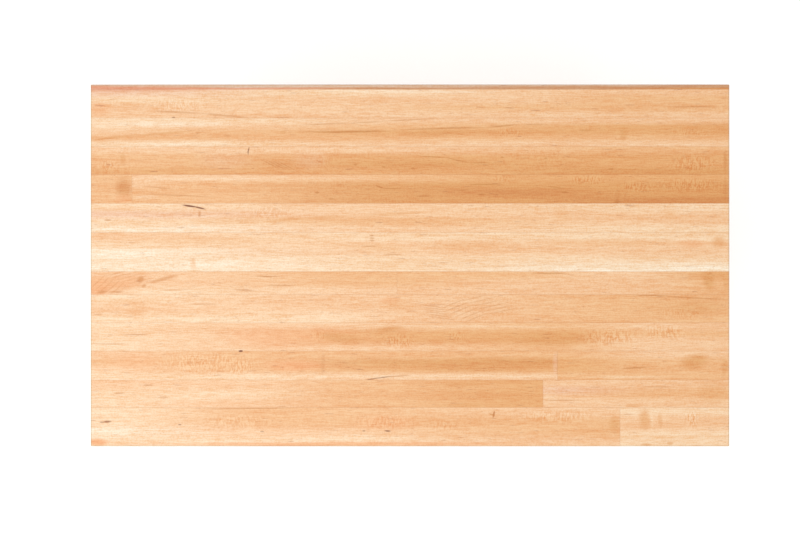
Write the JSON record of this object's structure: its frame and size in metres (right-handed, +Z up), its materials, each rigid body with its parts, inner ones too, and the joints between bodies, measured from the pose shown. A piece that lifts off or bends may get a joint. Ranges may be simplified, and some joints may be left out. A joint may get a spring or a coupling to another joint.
{
  "type": "butcher block table",
  "caption": "Rectangular edge-grain maple butcher block worktop on a square-legged apron base with screw levelling feet.",
  "frame": {"origin": "on the floor, under the middle of the worktop", "axes": "+X along the worktop's length and its staves, +Y from the front edge to the back edge, +Z up"},
  "size_m": [1.0668, 0.6044, 0.762],
  "materials": {
    "maple_cream": "satin oil",
    "maple_tan": "satin oil",
    "maple_amber": "satin oil",
    "maple_heartwood": "satin oil",
    "maple_base": "satin lacquer",
    "zinc_steel": "zinc plated",
    "brass": "turned",
    "nylon": "moulded matt"
  },
  "bodies": {
    "table": {"stave_01": "maple_heartwood", "stave_02": "maple_tan", "stave_03": "maple_tan", "stave_04": "maple_amber", "stave_05_left": "maple_amber", "stave_05_right": "maple_amber", "stave_06": "maple_cream", "stave_07": "maple_cream", "stave_08_left": "maple_tan", "stave_08_right": "maple_tan", "stave_09": "maple_tan", "stave_10": "maple_tan", "stave_11_left": "maple_amber", "stave_11_right": "maple_amber", "stave_12_left": "maple_tan", "stave_12_right": "maple_tan", "stave_13_left": "maple_cream", "stave_13_right": "maple_cream", "front_left_leg": "maple_base", "front_left_bracket": "zinc_steel", "front_right_leg": "maple_base", "front_right_bracket": "zinc_steel", "back_left_leg": "maple_base", "back_left_bracket": "zinc_steel", "back_right_leg": "maple_base", "back_right_bracket": "zinc_steel", "front_apron": "maple_base", "back_apron": "maple_base", "left_apron": "maple_base", "right_apron": "maple_base", "hanger_bolts": "zinc_steel", "bolt_washers": "zinc_steel", "bolt_nuts": "zinc_steel", "bracket_screws": "zinc_steel", "top_clips": "zinc_steel", "clip_screws": "zinc_steel", "foot_inserts": "brass"},
    "front_left_pad": {"front_left_foot_pad": "nylon"},
    "front_left_stem": {"front_left_foot_stem": "zinc_steel"},
    "front_right_pad": {"front_right_foot_pad": "nylon"},
    "front_right_stem": {"front_right_foot_stem": "zinc_steel"},
    "back_left_pad": {"back_left_foot_pad": "nylon"},
    "back_left_stem": {"back_left_foot_stem": "zinc_steel"},
    "back_right_pad": {"back_right_foot_pad": "nylon"},
    "back_right_stem": {"back_right_foot_stem": "zinc_steel"}
  },
  "joints": [
    {"name": "front_left_foot_slide", "type": "slide", "parent": "table", "child": "front_left_pad", "axis": [0, 0, -1], "range_m": [0, 0.015]},
    {"name": "front_left_foot_turn", "type": "hinge", "parent": "front_left_pad", "child": "front_left_stem", "pos_m": [-0.4434, -0.22225, 0.011], "axis": [0, 0, 1], "range_deg": [0, 3600]},
    {"name": "front_right_foot_slide", "type": "slide", "parent": "table", "child": "front_right_pad", "axis": [0, 0, -1], "range_m": [0, 0.015]},
    {"name": "front_right_foot_turn", "type": "hinge", "parent": "front_right_pad", "child": "front_right_stem", "pos_m": [0.4434, -0.22225, 0.011], "axis": [0, 0, 1], "range_deg": [0, 3600]},
    {"name": "back_left_foot_slide", "type": "slide", "parent": "table", "child": "back_left_pad", "axis": [0, 0, -1], "range_m": [0, 0.015]},
    {"name": "back_left_foot_turn", "type": "hinge", "parent": "back_left_pad", "child": "back_left_stem", "pos_m": [-0.4434, 0.22225, 0.011], "axis": [0, 0, 1], "range_deg": [0, 3600]},
    {"name": "back_right_foot_slide", "type": "slide", "parent": "table", "child": "back_right_pad", "axis": [0, 0, -1], "range_m": [0, 0.015]},
    {"name": "back_right_foot_turn", "type": "hinge", "parent": "back_right_pad", "child": "back_right_stem", "pos_m": [0.4434, 0.22225, 0.011], "axis": [0, 0, 1], "range_deg": [0, 3600]}
  ],
  "couplings": [
    {"joint": "front_left_foot_turn", "follows": "front_left_foot_slide", "rad_per_m": 4188.8},
    {"joint": "front_right_foot_turn", "follows": "front_right_foot_slide", "rad_per_m": 4188.8},
    {"joint": "back_left_foot_turn", "follows": "back_left_foot_slide", "rad_per_m": 4188.8},
    {"joint": "back_right_foot_turn", "follows": "back_right_foot_slide", "rad_per_m": 4188.8}
  ]
}
